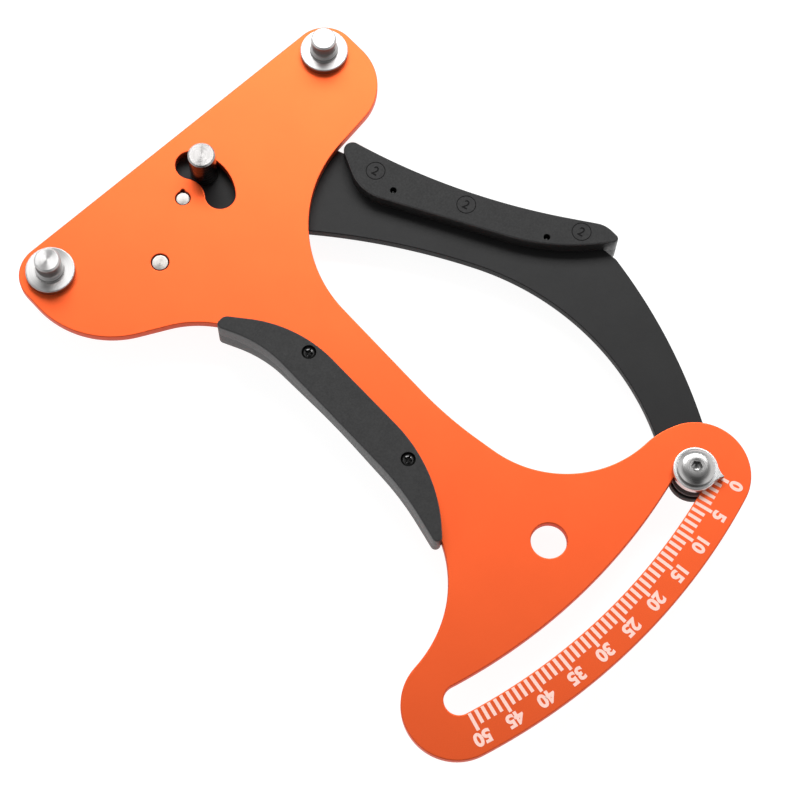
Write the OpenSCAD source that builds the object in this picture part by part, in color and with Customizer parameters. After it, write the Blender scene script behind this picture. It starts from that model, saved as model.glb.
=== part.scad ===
// Spoke tension meter: a flat frame with two fixed posts, and an arm behind it
// that swings on a pin. The arm carries the plunger and the pointer.
// Below, heights are counted from the front face of the frame plate, and places
// from the pivot; placed() then moves the whole tool to its own origin.

/* [Plates] */
// Thickness of the frame plate
frame_t = 3; // [2.5:0.1:3.2]
// Thickness of the arm plate
arm_t = 3; // [2.5:0.1:3.2]
// Outer radius of the scale band, from the pivot
band_r = 190.9; // [190.5:0.1:192]
// Radius of the round ends of the scale band
band_end_r = 15.7; // [15.3:0.1:16]

/* [Posts] */
// Distance between the two fixed posts
post_spacing = 110; // [109:0.5:111]
// Diameter of the fixed posts
post_d = 7.8; // [7:0.1:8.2]
// Diameter of the flange at the foot of a post
flange_d = 14.8; // [13:0.1:15.5]
// Thickness of that flange
flange_t = 2.2; // [1.6:0.1:2.6]
// Height of the posts and the plunger above the frame plate
post_h = 9.4; // [8:0.1:10.5]
// Diameter of the plunger
plunger_d = 8.3; // [7:0.1:8.3]
// Distance of the plunger from the pivot
plunger_r = 11.6; // [11.3:0.1:11.7]

/* [Scale] */
// Middle radius of the scale window
slot_r = 174.3; // [173.9:0.1:174.6]
// Width of the scale window
slot_w = 8.7; // [8.5:0.1:9.2]
// Full swing of the arm in degrees
swing = 31.9; // [31.4:0.1:32]
// Angle of the pointer at rest
rest_a = -72.6; // [-72.6:0.1:-72.3]
// Diameter of the pointer disc
pointer_d = 13.2; // [12.4:0.1:13.4]

/* [Holes] */
// Diameter of the hang hole
hang_d = 10.5; // [8:0.1:11]
// Diameter of the pivot pin where the arm turns
pin_d = 8; // [7:0.1:8]
// Radial running clearance of the arm on its pin
run_gap = 0.05; // [0.02:0.01:0.09]

/* [Grips] */
// How far a grip half stands above its plate
grip_h = 4.5; // [4:0.1:4.8]
// Diameter of the grip screw heads
grip_screw_d = 4.2; // [3.8:0.1:4.4]

/* [Spring] */
// Diameter of the spring wire
wire_d = 1.2; // [0.9:0.1:1.2]
// Mean radius of the coils
coil_r = 6.2; // [5.8:0.1:6.4]
// Rise of the coil for each turn
coil_pitch = 1.25; // [1.25:0.01:1.3]

/* [Hidden] */

$fn = 64;
gap = 1;                              // between the two plates
f0 = 0;                               // front face of the frame plate
f1 = f0 - frame_t;                    // its back face
a0 = f1 - gap;                        // front face of the arm plate
a1 = a0 - arm_t;                      // its back face
pin_end = a1 - 5.9;
post_y = 8;
post_x = 10;                          // middle of the two posts
plunger_a = 16.5;
hang_at = [6.4, -152.6];
anchor_at = [-18.9, -11.4];
hook_at = [18, -13];
scale_span = 32.5;                    // degrees from one end of the scale band to the other
end_a = rest_a - scale_span;
slot_play = 0.2;                      // degrees past the pointer at each end
kidney_r = 11.35;                     // the plunger's window
kidney_w = 9.2;
kidney_a = [-37, 37.5];
head_top = 17.4;
neck_left = -13;
band_mid = band_r - band_end_r;
end_left = band_mid * [cos(end_a), sin(end_a)];
end_right = band_mid * [cos(rest_a), sin(rest_a)];
pointer_at = slot_r * [cos(rest_a), sin(rest_a)];
plunger_at = plunger_r * [cos(plunger_a), sin(plunger_a)];
post_at = [[post_x - post_spacing / 2, post_y], [post_x + post_spacing / 2, post_y]];
frame_screw_at = [[-6.5, -64.4], [-7.6, -108.3]];
arm_screw_at = [[48.7, -41.3], [72.3, -84]];

// the origin is the middle of the footprint, at the height of the lowest point
grip_tip_x = 88.4;
origin = [(end_left[0] - band_end_r + grip_tip_x) / 2, (head_top - band_r) / 2, pin_end];

// points on a circle, and a path of straight runs joined by rounded corners [x, y, radius]
function arc(c, r, a, b, n = 12) = [for (i = [0 : n]) let (t = a + (b - a) * i / n) [c[0] + r * cos(t), c[1] + r * sin(t)]];
function xy(p) = [p[0], p[1]];
function unit(v) = v / norm(v);
function corner(a, b, c, r) =
    let (u = unit(xy(a) - xy(b)), v = unit(xy(c) - xy(b)), half = acos(u * v) / 2,
        q = xy(b) + unit(u + v) * r / sin(half), p = xy(b) + u * r / tan(half) - q, e = xy(b) + v * r / tan(half) - q,
        t0 = atan2(p[1], p[0]), d = (atan2(e[1], e[0]) - t0 + 540) % 360 - 180)
    arc(q, r, t0, t0 + d, max(3, ceil(abs(d) / 6), ceil(r * abs(d) / 57.3 / 2.5)));
function path(c) = [for (i = [1 : len(c) - 2]) each corner(c[i - 1], c[i], c[i + 1], c[i][2])];
function closed(c) = path(concat([c[len(c) - 1]], c, [c[0]]));

// the head's top edge, its left lobe, the neck's left side, the scale band, the neck's right side, the right lobe
frame_outline = concat(
    path([[10, head_top], [-55, head_top, 10], [-55, -16.3, 30], [neck_left, -37.7, 32], [neck_left, -149.2, 37.5],
        end_left + band_end_r * [cos(96), sin(96)]]),
    arc(end_left, band_end_r, 96, 180, 14),
    arc(end_left, band_end_r, 186, 360 + end_a, 12),
    arc([0, 0], band_r, end_a + 0.8, rest_a - 0.8, 38),
    arc(end_right, band_end_r, rest_a, 70, 24),
    path([end_right + band_end_r * [cos(70), sin(70)], [52.4, -150.7, 26], [18.6, -150.4, 34.5], [10.7, -105.5, 120], [11.9, -24, 42.3],
        [74.6, -14.6, 18], [74.6, head_top, 10], [10, head_top]]));

// the arm: a round head on the pin, an inner edge of two arcs that run into each other, a round end, an outer arc, a straight back
inner_c = [-133, -172];
inner_r = 208.6;
wrist_r = 84;
join_a = 27.8;
wrist_c = inner_c + (inner_r - wrist_r) * [cos(join_a), sin(join_a)];
arm_end_r = 7.2;
arm_outline = concat(
    arc([0, 0], 17, 60, 265, 34),
    path([[-1.5, -16.9], [6.8, -16.7, 8], [12.8, -22.2]]),
    arc(inner_c, inner_r, 46.8, join_a, 29),
    arc(wrist_c, wrist_r, join_a - 1.5, -32.5, 36),
    arc(pointer_at, arm_end_r, 122, 332, 30),
    arc([-87.7, -75], 174.2, -28, -9, 22),
    path([[84.4, -102], [83, -89.6, 4], [62, -60, 211], [41.9, -4.6, 8], [8.5, 14.7]]));

// the frame's grip has a narrower half behind the plate
frame_grip_outline = closed([[-21.6, -39.3, 1.5], [-14.8, -53.1, 39], [-15, -113.5, 90], [-20.2, -136.5, 1.5],
    [-2.85, -116.1, 50], [-2.85, -55.8, 41], [-17.2, -38.8, 2.6]]);
frame_grip_back_outline = closed([[-21.6, -39.3, 1.5], [-14.8, -53.1, 39], [-13.7, -83.5, 260], [-14.7, -113.5, 90], [-19.6, -135.6, 1.5],
    [-2.85, -116.1, 50], [-2.85, -55.8, 41], [-17.2, -38.8, 2.6]]);
arm_grip_outline = closed([[49.3, -15, 2.7], [40.7, -34.6, 14], [70.4, -87.6, 65], [grip_tip_x, -100.6, 1.4],
    [grip_tip_x, -93.1, 8], [61.8, -56.3, 205]]);

module placed(z = 0) { translate([-origin[0], -origin[1], z - origin[2]]) children(); }
module at(p) { placed() translate([p[0], p[1], 0]) children(); }
// a window that follows a circle about the pivot, with round ends
module curved_window(r, w, a, b) {
    n = max(12, ceil(abs(b - a) * r / 57.3 / 2.5));
    polygon(concat(arc([0, 0], r + w / 2, a, b, n), arc(r * [cos(b), sin(b)], w / 2, b + 9, b + 171, 18),
        arc([0, 0], r - w / 2, b, a, n), arc(r * [cos(a), sin(a)], w / 2, a + 189, a + 351, 18)));
}
module rod(z0, z1, r) { translate([0, 0, z0]) cylinder(r = r, h = z1 - z0); }
module ring(z0, z1, ro, ri) { difference() { rod(z0, z1, ro); rod(z0 - 1, z1 + 1, ri); } }
module turned(p) { rotate_extrude() polygon(p); }
module through(points, z0, z1, r) { for (p = points) translate([p[0], p[1], 0]) rod(z0 - 1, z1 + 1, r); }

module frame_plate() {
    color("darkorange") placed() difference() {
        translate([0, 0, f1]) linear_extrude(frame_t) difference() {
            polygon(frame_outline);
            curved_window(slot_r, slot_w, rest_a - swing - slot_play, rest_a + slot_play);
            curved_window(kidney_r, kidney_w, kidney_a[0], kidney_a[1]);
        }
        through([hang_at], f1, f0, hang_d / 2);
        through([[0, 0]], f1, f0, 2.12);
        through([anchor_at], f1, f0, 2.52);
        through(post_at, f1, f0, 1.6);
        through(frame_screw_at, f1, f0, 1.6);
    }
}

// a grip is two mouldings that lie on both faces of a sheet and meet round its edge;
// face, seat and part are the heights of the outer face, the sheet's face and the parting line
module grip_body(points, sheet, face, seat, part) {
    difference() {
        translate([0, 0, min(face, part)]) linear_extrude(abs(face - part)) polygon(points);
        translate([0, 0, min(seat, 2 * part - seat)]) linear_extrude(2 * abs(part - seat)) polygon(sheet);
    }
}
// the half that takes the screw heads
module grip_head_half(points, sheet, face, seat, part, holes) {
    up = face > seat ? 1 : -1;
    placed() difference() {
        grip_body(points, sheet, face, seat, part);
        through(holes, min(face, seat), max(face, seat), 1.6);
        for (p = holes) translate([p[0], p[1], 0]) rod(min(face - 1.7 * up, face + up), max(face - 1.7 * up, face + up), grip_screw_d / 2 + 0.1);
    }
}
// the half that takes the points of the screws
module grip_thread_half(points, sheet, face, seat, part, holes) {
    placed() difference() {
        grip_body(points, sheet, face, seat, part);
        through(holes, min(face, seat), max(face, seat), 1.05);
    }
}
// cross-head screw, its head up, its seat at z = 0
module grip_screw(body_len, point_len) {
    difference() {
        union() {
            turned([[0, 0], [grip_screw_d / 2, 0], [grip_screw_d / 2, 1], [grip_screw_d / 2 - 0.5, 1.5], [0, 1.5]]);
            rod(-body_len, 0, 1.5);
            rod(-body_len - point_len, -body_len, 1);
        }
        for (a = [0, 90]) rotate([0, 0, a]) translate([-1.3, -0.3, 0.6]) cube([2.6, 0.6, 2]);
    }
}
grip_black = [0.24, 0.24, 0.24];
frame_mid = (f0 + f1) / 2;
arm_mid = (a0 + a1) / 2;
module frame_grip_front() { color(grip_black) grip_head_half(frame_grip_outline, frame_outline, f0 + grip_h, f0, frame_mid, frame_screw_at); }
module frame_grip_back() { color(grip_black) grip_thread_half(frame_grip_back_outline, frame_outline, f1 - grip_h, f1, frame_mid, frame_screw_at); }
module arm_grip_front() { color(grip_black) grip_thread_half(arm_grip_outline, arm_outline, a0 + grip_h, a0, arm_mid, arm_screw_at); }
module arm_grip_back() { color(grip_black) grip_head_half(arm_grip_outline, arm_outline, a1 - grip_h, a1, arm_mid, arm_screw_at); }
module frame_grip_screws() {
    color([0.08, 0.08, 0.08]) for (p = frame_screw_at) at(p) translate([0, 0, f0 + grip_h - 1.7]) grip_screw(grip_h - 1.7 + frame_t, 3);
}
module arm_grip_screws() {
    color([0.08, 0.08, 0.08]) for (p = arm_screw_at) at(p) translate([0, 0, a1 - grip_h + 1.7]) rotate([180, 0, 0]) grip_screw(grip_h - 1.7 + arm_t, 3);
}

// a fixed post: flange, neck, shank and bevelled tip, tapped from below
module post() {
    post_r = post_d / 2;
    difference() {
        turned([[0, f0], [flange_d / 2, f0], [flange_d / 2, flange_t - 0.3], [flange_d / 2 - 0.3, flange_t],
            [post_r + 0.4, flange_t], [post_r + 0.4, flange_t + 1], [post_r - 0.3, flange_t + 1.4], [post_r - 0.3, flange_t + 2.8],
            [post_r, flange_t + 3.1], [post_r, post_h - 0.5], [post_r - 0.5, post_h], [0, post_h]]);
        rod(f0 - 1, 4.5, 1.52);
    }
}
module post_left() { color("silver") at(post_at[0]) post(); }
module post_right() { color("silver") at(post_at[1]) post(); }
module post_washers() { color("silver") for (p = post_at) at(p) ring(f1 - 0.6, f1, 4, 1.6); }
// button-head screw with a hex socket, its head down, its seat at z = 0
module button_screw(len, r, head_r, head_h, key) {
    difference() {
        union() {
            rod(0, len, r);
            turned([[0, -head_h], [head_r * 0.45, -head_h], [head_r * 0.75, head_r * 0.06 - head_h], [head_r, head_r * 0.23 - head_h], [head_r, 0], [0, 0]]);
        }
        translate([0, 0, -head_h - 1]) cylinder(d = key, h = 1 + head_h * 0.6, $fn = 6);
    }
}
module post_screws() { color("silver") for (p = post_at) at(p) translate([0, 0, f1 - 0.6]) button_screw(7.4, 1.5, 2.8, 1.7, 2.2); }

pin_r = pin_d / 2;
module pivot_pin() {
    color("silver") placed() turned([[0, pin_end], [pin_r - 0.4, pin_end], [pin_r, pin_end + 0.4], [pin_r, a1 - 5.5],
        [pin_r - 0.8, a1 - 5.5], [pin_r - 0.8, a1 - 4.8], [pin_r, a1 - 4.8], [pin_r, f1], [2.1, f1], [2.1, f0], [0, f0]]);
}
module pivot_spacer() { color("silver") placed() ring(a0 + 0.05, f1, 6.6, pin_r + 0.05); }
module pivot_back_washer() { color("silver") placed() ring(a1 - 0.55, a1 - 0.05, 7.5, pin_r + 0.05); }
module retaining_ring() {
    color([0.2, 0.2, 0.2]) placed() difference() {
        ring(a1 - 5.45, a1 - 4.85, 6, pin_r - 0.75);
        translate([0, -1.9, a1 - 6]) cube([10, 3.8, 3]);
    }
}
module spring_anchor_pin() {
    color("silver") at(anchor_at) turned([[0, a1 - 2.9], [1.5, a1 - 2.9], [1.9, a1 - 2.5], [1.9, a1 - 2.1], [1.3, a1 - 1.9], [1.3, a1 - 0.6],
        [1.9, a1 - 0.4], [1.9, f1 - 0.6], [3.4, f1 - 0.6], [3.4, f1], [2.5, f1], [2.5, f0], [0, f0]]);
}
module spring_hook_pin() {
    color("silver") at(hook_at) turned([[0, a1 - 5.5], [1.2, a1 - 5.5], [1.5, a1 - 5.2], [1.5, a1 - 4.9], [1, a1 - 4.75], [1, a1 - 3.45], [1.5, a1 - 3.3],
        [1.5, a1 - 0.6], [2.6, a1 - 0.6], [2.6, a1], [1.5, a1], [1.5, a0], [0, a0]]);
}
// torsion spring: a straight leg that bears on the anchor pin, two turns and a bit about the
// pivot pin, and a straight leg that bears on the hook pin
wire_r = wire_d / 2;
coil_top = a1 - 1.25;
side_a = 1.3 + wire_r + 0.05;        // from a pin's axis to the wire that bears on it
side_b = 1 + wire_r + 0.05;
lean_a = atan2(anchor_at[1], anchor_at[0]) - acos((coil_r + side_a) / norm(anchor_at));
lean_b = atan2(hook_at[1], hook_at[0]) + acos((coil_r + side_b) / norm(hook_at));
leg_a = anchor_at - side_a * [cos(lean_a), sin(lean_a)];
leg_b = hook_at - side_b * [cos(lean_b), sin(lean_b)];
turn_a = lean_a + 360;
turn_b = lean_b - 720;
coil_bottom = coil_top - coil_pitch * (turn_a - turn_b) / 360;
spring_path = concat(
    [for (s = [4, 0]) let (u = unit(leg_a - coil_r * [cos(turn_a), sin(turn_a)])) [leg_a[0] + s * u[0], leg_a[1] + s * u[1], coil_top]],
    [for (i = [0 : 54]) let (t = turn_a + (turn_b - turn_a) * i / 54) [coil_r * cos(t), coil_r * sin(t), coil_top + (coil_bottom - coil_top) * i / 54]],
    [for (s = [0, 4]) let (u = unit(leg_b - coil_r * [cos(turn_b), sin(turn_b)])) [leg_b[0] + s * u[0], leg_b[1] + s * u[1], coil_bottom]]);
module wire(p, r, sides = 8) {
    n = len(p);
    rings = [for (i = [0 : n - 1]) let (t = unit(p[min(i + 1, n - 1)] - p[max(i - 1, 0)]), side = unit(cross(t, [0, 0, 1])), up = cross(side, t))
        for (k = [0 : sides - 1]) p[i] + r * (side * cos(360 * k / sides) + up * sin(360 * k / sides))];
    polyhedron(rings, concat([[for (k = [0 : sides - 1]) k]],
        [for (i = [0 : n - 2]) for (k = [0 : sides - 1]) let (m = (k + 1) % sides) [i * sides + k, (i + 1) * sides + k, (i + 1) * sides + m, i * sides + m]],
        [[for (k = [sides - 1 : -1 : 0]) (n - 1) * sides + k]]));
}
module return_spring() { color("gainsboro") placed() wire(spring_path, wire_r); }

module arm_plate() {
    color([0.2, 0.2, 0.2]) placed() difference() {
        translate([0, 0, a1]) linear_extrude(arm_t) polygon(arm_outline);
        through([[0, 0]], a1, a0, pin_r + run_gap);
        through([plunger_at], a1, a0, 1.6);
        through([pointer_at], a1, a0, 2.05);
        through([hook_at], a1, a0, 1.52);
        through(arm_screw_at, a1, a0, 1.6);
    }
}
module plunger() {
    color("silver") at(plunger_at) difference() {
        turned([[0, a0], [plunger_d / 2, a0], [plunger_d / 2, post_h - 0.4], [plunger_d / 2 - 0.4, post_h], [0, post_h]]);
        rod(a0 - 1, 2.5, 1.52);
    }
}
module plunger_washer() { color("silver") at(plunger_at) ring(a1 - 0.5, a1, 3, 1.6); }
module plunger_screw() { color("silver") at(plunger_at) translate([0, 0, a1 - 0.5]) button_screw(8, 1.5, 2.7, 1.3, 2); }

disc_z0 = f0 + 0.4;
disc_z1 = disc_z0 + 2.2;
tip_a = rest_a + 13.6;
tip_len = 8.4;
module pointer() {
    color("silver") at(pointer_at) difference() {
        union() {
            rod(disc_z0, disc_z1, pointer_d / 2);
            rotate([0, 0, tip_a]) translate([0, 0, disc_z0]) linear_extrude(disc_z1 - disc_z0) polygon([[4.8, -4.4], [tip_len, -0.25], [tip_len, 0.25], [4.8, 4.4]]);
        }
        rod(disc_z0 - 1, disc_z1 + 1, 2.05);
    }
}
module pointer_sleeve() { color("silver") at(pointer_at) ring(a0, disc_z0, slot_w / 2 - 0.3, 2.05); }
module pointer_spacer() { color("silver") at(pointer_at) ring(a0, a0 + 0.85, 6.5, slot_w / 2 - 0.25); }
module pointer_screw() {
    color("silver") at(pointer_at) translate([0, 0, disc_z1]) rotate([180, 0, 0]) button_screw(disc_z1 - a1 + 2.6, 2, 5.4, 2.4, 3);
}
module pointer_nut() {
    color("silver") at(pointer_at) difference() {
        translate([0, 0, a1 - 2.4]) cylinder(d = 8, h = 2.4, $fn = 6);
        rod(a1 - 3, a1 + 1, 2.03);
    }
}

frame_plate();
frame_grip_front();
frame_grip_back();
frame_grip_screws();
post_left();
post_right();
post_washers();
post_screws();
pivot_pin();
pivot_spacer();
pivot_back_washer();
retaining_ring();
spring_anchor_pin();
return_spring();
arm_plate();
arm_grip_front();
arm_grip_back();
arm_grip_screws();
spring_hook_pin();
plunger();
plunger_washer();
plunger_screw();
pointer();
pointer_screw();
pointer_sleeve();
pointer_spacer();
pointer_nut();
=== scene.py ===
"""Looks of the spoke tension meter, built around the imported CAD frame.

Lengths in the helpers are millimetres, counted as in the CAD source: places from the pivot,
heights from the front face of the frame plate. OFF moves them to the shared frame.
"""
import bpy
import bmesh
from math import sin, cos, tan, radians, degrees, atan2, acos, pi, ceil, hypot, sqrt
from mathutils import Vector, Matrix
from mathutils.geometry import tessellate_polygon


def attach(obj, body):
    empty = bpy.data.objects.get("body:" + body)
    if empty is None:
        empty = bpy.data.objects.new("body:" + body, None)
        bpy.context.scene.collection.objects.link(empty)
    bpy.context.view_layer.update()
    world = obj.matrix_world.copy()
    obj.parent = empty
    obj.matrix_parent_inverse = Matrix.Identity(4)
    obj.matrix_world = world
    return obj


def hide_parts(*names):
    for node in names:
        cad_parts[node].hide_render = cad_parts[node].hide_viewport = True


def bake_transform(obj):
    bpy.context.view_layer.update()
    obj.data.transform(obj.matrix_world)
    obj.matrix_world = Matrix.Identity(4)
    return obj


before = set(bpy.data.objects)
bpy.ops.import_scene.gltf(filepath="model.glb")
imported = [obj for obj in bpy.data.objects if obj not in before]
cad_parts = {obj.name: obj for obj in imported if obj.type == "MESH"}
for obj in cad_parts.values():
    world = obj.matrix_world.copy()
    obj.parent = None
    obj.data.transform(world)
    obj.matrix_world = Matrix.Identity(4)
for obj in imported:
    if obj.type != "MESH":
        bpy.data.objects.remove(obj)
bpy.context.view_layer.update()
scene = bpy.context.scene

# ------------------------------------------------------------------ dimensions, as in the CAD source
HEAD_TOP, NECK_LEFT = 17.4, -13.0
BAND_R, BAND_END_R = 190.9, 15.7
REST_A, SWING, SCALE_SPAN = -72.6, 31.9, 32.5
END_A = REST_A - SCALE_SPAN
BAND_MID = BAND_R - BAND_END_R
SLOT_R, SLOT_W, SLOT_PLAY = 174.3, 8.7, 0.2
KIDNEY_R, KIDNEY_W, KIDNEY_A = 11.35, 9.2, (-37.0, 37.5)
F0, F1, A0, A1 = 0.0, -3.0, -4.0, -7.0
PIN_END = -12.9
GRIP_H, GRIP_TIP_X = 4.5, 88.4
POST_H, FLANGE_T = 9.4, 2.2
HANG_AT = (6.4, -152.6)
ANCHOR_AT, HOOK_AT = (-18.9, -11.4), (18.0, -13.0)
POST_AT = ((-45.0, 8.0), (65.0, 8.0))
FRAME_SCREWS = ((-6.5, -64.4), (-7.6, -108.3))
ARM_SCREWS = ((48.7, -41.3), (72.3, -84.0))


def cs(a):
    return cos(radians(a)), sin(radians(a))


def polar(r, a, c=(0.0, 0.0)):
    return (c[0] + r * cos(radians(a)), c[1] + r * sin(radians(a)))


END_LEFT, END_RIGHT = polar(BAND_MID, END_A), polar(BAND_MID, REST_A)
POINTER_AT = polar(SLOT_R, REST_A)
PLUNGER_AT = polar(11.6, 16.5)
OFF = Vector((-(END_LEFT[0] - BAND_END_R + GRIP_TIP_X) / 2, -(HEAD_TOP - BAND_R) / 2, -PIN_END))


def arc(c, r, a, b, n=None):
    if n is None:
        n = max(3, ceil(abs(b - a) / 4), ceil(r * abs(radians(b - a)) / 1.1))
    return [polar(r, a + (b - a) * i / n, c) for i in range(n + 1)]


def corner(a, b, c, r):
    A, B, C = (Vector(p[:2]) for p in (a, b, c))
    u, v = (A - B).normalized(), (C - B).normalized()
    half = acos(max(-1, min(1, u.dot(v)))) / 2
    q = B + (u + v).normalized() * r / sin(half)
    p, e = B + u * r / tan(half) - q, B + v * r / tan(half) - q
    t0 = degrees(atan2(p.y, p.x))
    d = (degrees(atan2(e.y, e.x)) - t0 + 540) % 360 - 180
    return arc(tuple(q), r, t0, t0 + d)


def path(c):
    out = []
    for i in range(1, len(c) - 1):
        out += corner(c[i - 1], c[i], c[i + 1], c[i][2])
    return out


def closed(c):
    return path([c[-1]] + list(c) + [c[0]])


def circle(c, r, n=64, turn=0.0):
    return [polar(r, turn + 360 * i / n, c) for i in range(n)]


def tidy(loop, tol=0.03):
    out = []
    for p in loop:
        if not out or hypot(p[0] - out[-1][0], p[1] - out[-1][1]) > tol:
            out.append((float(p[0]), float(p[1])))
    while hypot(out[0][0] - out[-1][0], out[0][1] - out[-1][1]) <= tol:
        out.pop()
    return out


def area(loop):
    return sum(a[0] * b[1] - b[0] * a[1] for a, b in zip(loop, loop[1:] + loop[:1])) / 2


def turned_ccw(loop, ccw=True):
    loop = tidy(loop)
    return loop if (area(loop) > 0) == ccw else loop[::-1]


def inset(loop, d):
    """Each point moved by d to the left of the loop's direction, with mitred corners."""
    out = []
    for i, b in enumerate(loop):
        a, c = loop[i - 1], loop[(i + 1) % len(loop)]
        u = Vector((b[0] - a[0], b[1] - a[1])).normalized()
        v = Vector((c[0] - b[0], c[1] - b[1])).normalized()
        n1, n2 = Vector((-u.y, u.x)), Vector((-v.y, v.x))
        m = (n1 + n2) / max(0.35, 1 + n1.dot(n2))
        out.append((b[0] + m.x * d, b[1] + m.y * d))
    return out


FRAME_OUTLINE = (
    path([(10, HEAD_TOP), (-55, HEAD_TOP, 10), (-55, -16.3, 30), (NECK_LEFT, -37.7, 32), (NECK_LEFT, -149.2, 37.5), polar(BAND_END_R, 96, END_LEFT)])
    + arc(END_LEFT, BAND_END_R, 96, 360 + END_A)
    + arc((0, 0), BAND_R - 0.005, END_A + 0.4, REST_A - 0.4)
    + arc(END_RIGHT, BAND_END_R, REST_A, 70)
    + path([polar(BAND_END_R, 70, END_RIGHT), (52.4, -150.7, 26), (18.6, -150.4, 34.5), (10.7, -105.5, 120), (11.9, -24, 42.3), (74.6, -14.6, 18),
            (74.6, HEAD_TOP, 10), (10, HEAD_TOP)]))
INNER_C, INNER_R, WRIST_R, JOIN_A = (-133.0, -172.0), 208.6, 84.0, 27.8
WRIST_C = polar(INNER_R - WRIST_R, JOIN_A, INNER_C)
ARM_OUTLINE = (
    arc((0, 0), 17, 60, 265) + path([(-1.5, -16.9), (6.8, -16.7, 8), (12.8, -22.2)]) + arc(INNER_C, INNER_R, 46.8, JOIN_A) + arc(WRIST_C, WRIST_R, JOIN_A - 0.8, -32.5)
    + arc(POINTER_AT, 7.2, 122, 332) + arc((-87.7, -75), 174.2, -28, -9)
    + path([(84.4, -102), (83, -89.6, 4), (62, -60, 211), (41.9, -4.6, 8), (8.5, 14.7)]))
FRAME_GRIP = closed([(-21.6, -39.3, 1.5), (-14.8, -53.1, 39), (-15, -113.5, 90), (-20.2, -136.5, 1.5),
                     (-2.85, -116.1, 50), (-2.85, -55.8, 41), (-17.2, -38.8, 2.6)])
FRAME_GRIP_BACK = closed([(-21.6, -39.3, 1.5), (-14.8, -53.1, 39), (-13.7, -83.5, 260), (-14.7, -113.5, 90), (-19.6, -135.6, 1.5),
                          (-2.85, -116.1, 50), (-2.85, -55.8, 41), (-17.2, -38.8, 2.6)])
ARM_GRIP = closed([(49.3, -15, 2.7), (40.7, -34.6, 14), (70.4, -87.6, 65), (GRIP_TIP_X, -100.6, 1.4),
                   (GRIP_TIP_X, -93.1, 8), (61.8, -56.3, 205)])


def window(r, w, a, b):
    return (arc((0, 0), r + w / 2, a, b) + arc(polar(r, b), w / 2, b + 4, b + 176)
            + arc((0, 0), r - w / 2, b, a) + arc(polar(r, a), w / 2, a + 184, a + 356))


# ------------------------------------------------------------------ mesh making

def put(name, verts, faces, at=(0, 0), material=None, body=None, stands=(), slot=None, sharp=28):
    """A closed mesh from points in mm about the place at, as an object in the shared frame."""
    me = bpy.data.meshes.new(name)
    me.from_pydata([(x * 0.001, y * 0.001, z * 0.001) for x, y, z in verts], [], faces)
    o = bpy.data.objects.new(name, me)
    scene.collection.objects.link(o)
    o.location = Vector((at[0] + OFF.x, at[1] + OFF.y, OFF.z)) * 0.001
    shade(o, sharp)
    if material is not None:
        me.materials.append(material)
    if body:
        place(o, body, stands)
    return o


def shade(o, sharp=28):
    bm = bmesh.new()
    bm.from_mesh(o.data)
    bmesh.ops.remove_doubles(bm, verts=bm.verts, dist=2e-7)
    bmesh.ops.dissolve_degenerate(bm, edges=bm.edges, dist=1e-7)
    bmesh.ops.recalc_face_normals(bm, faces=bm.faces)
    for f in bm.faces:
        f.smooth = True
    flat = {f for f in bm.faces if abs(f.normal.z) > 0.9999}     # level faces stay level up to their rim
    for e in bm.edges:
        two = len(e.link_faces) == 2
        e.smooth = not two or (e.calc_face_angle(0) <= radians(sharp) and (e.link_faces[0] in flat) == (e.link_faces[1] in flat))
    bm.to_mesh(o.data)
    bm.free()
    o.data.update()


def place(o, body, stands=()):
    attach(o, body)
    if stands:
        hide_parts(*([stands] if isinstance(stands, str) else stands))
    return o


def slab(name, outer, holes, z0, z1, top=0.25, bottom=0.25, steps=2, **kw):
    """A plate with rounded edges: each loop is set back round the edge, and both faces are filled."""
    loops = [turned_ccw(outer, True)] + [turned_ccw(h, False) for h in holes]
    rows = []
    for i in range(steps + 1):
        a = pi / 2 * i / steps
        rows.append((top * (1 - sin(a)), z1 - top * (1 - cos(a))))
    for i in range(steps + 1):
        a = pi / 2 * i / steps
        rows.append((bottom * (1 - cos(a)), z0 + bottom * (1 - sin(a))))
    verts, faces, starts = [], [], []
    for loop in loops:
        base = len(verts)
        starts.append(base)
        for d, z in rows:
            verts += [(x, y, z) for x, y in (inset(loop, d) if d > 1e-6 else loop)]
        n = len(loop)
        for r in range(len(rows) - 1):
            for i in range(n):
                j = (i + 1) % n
                faces.append((base + r * n + i, base + (r + 1) * n + i, base + (r + 1) * n + j, base + r * n + j))
    for row, flip in ((0, False), (len(rows) - 1, True)):
        ids, polys = [], []
        for s, loop in zip(starts, loops):
            n = len(loop)
            ids += [s + row * n + i for i in range(n)]
            polys.append([Vector((*verts[s + row * n + i][:2], 0)) for i in range(n)])
        for t in tessellate_polygon(polys):
            f = [ids[k] for k in t]
            faces.append(tuple(f[::-1] if flip else f))
    return put(name, verts, faces, **kw)


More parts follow.
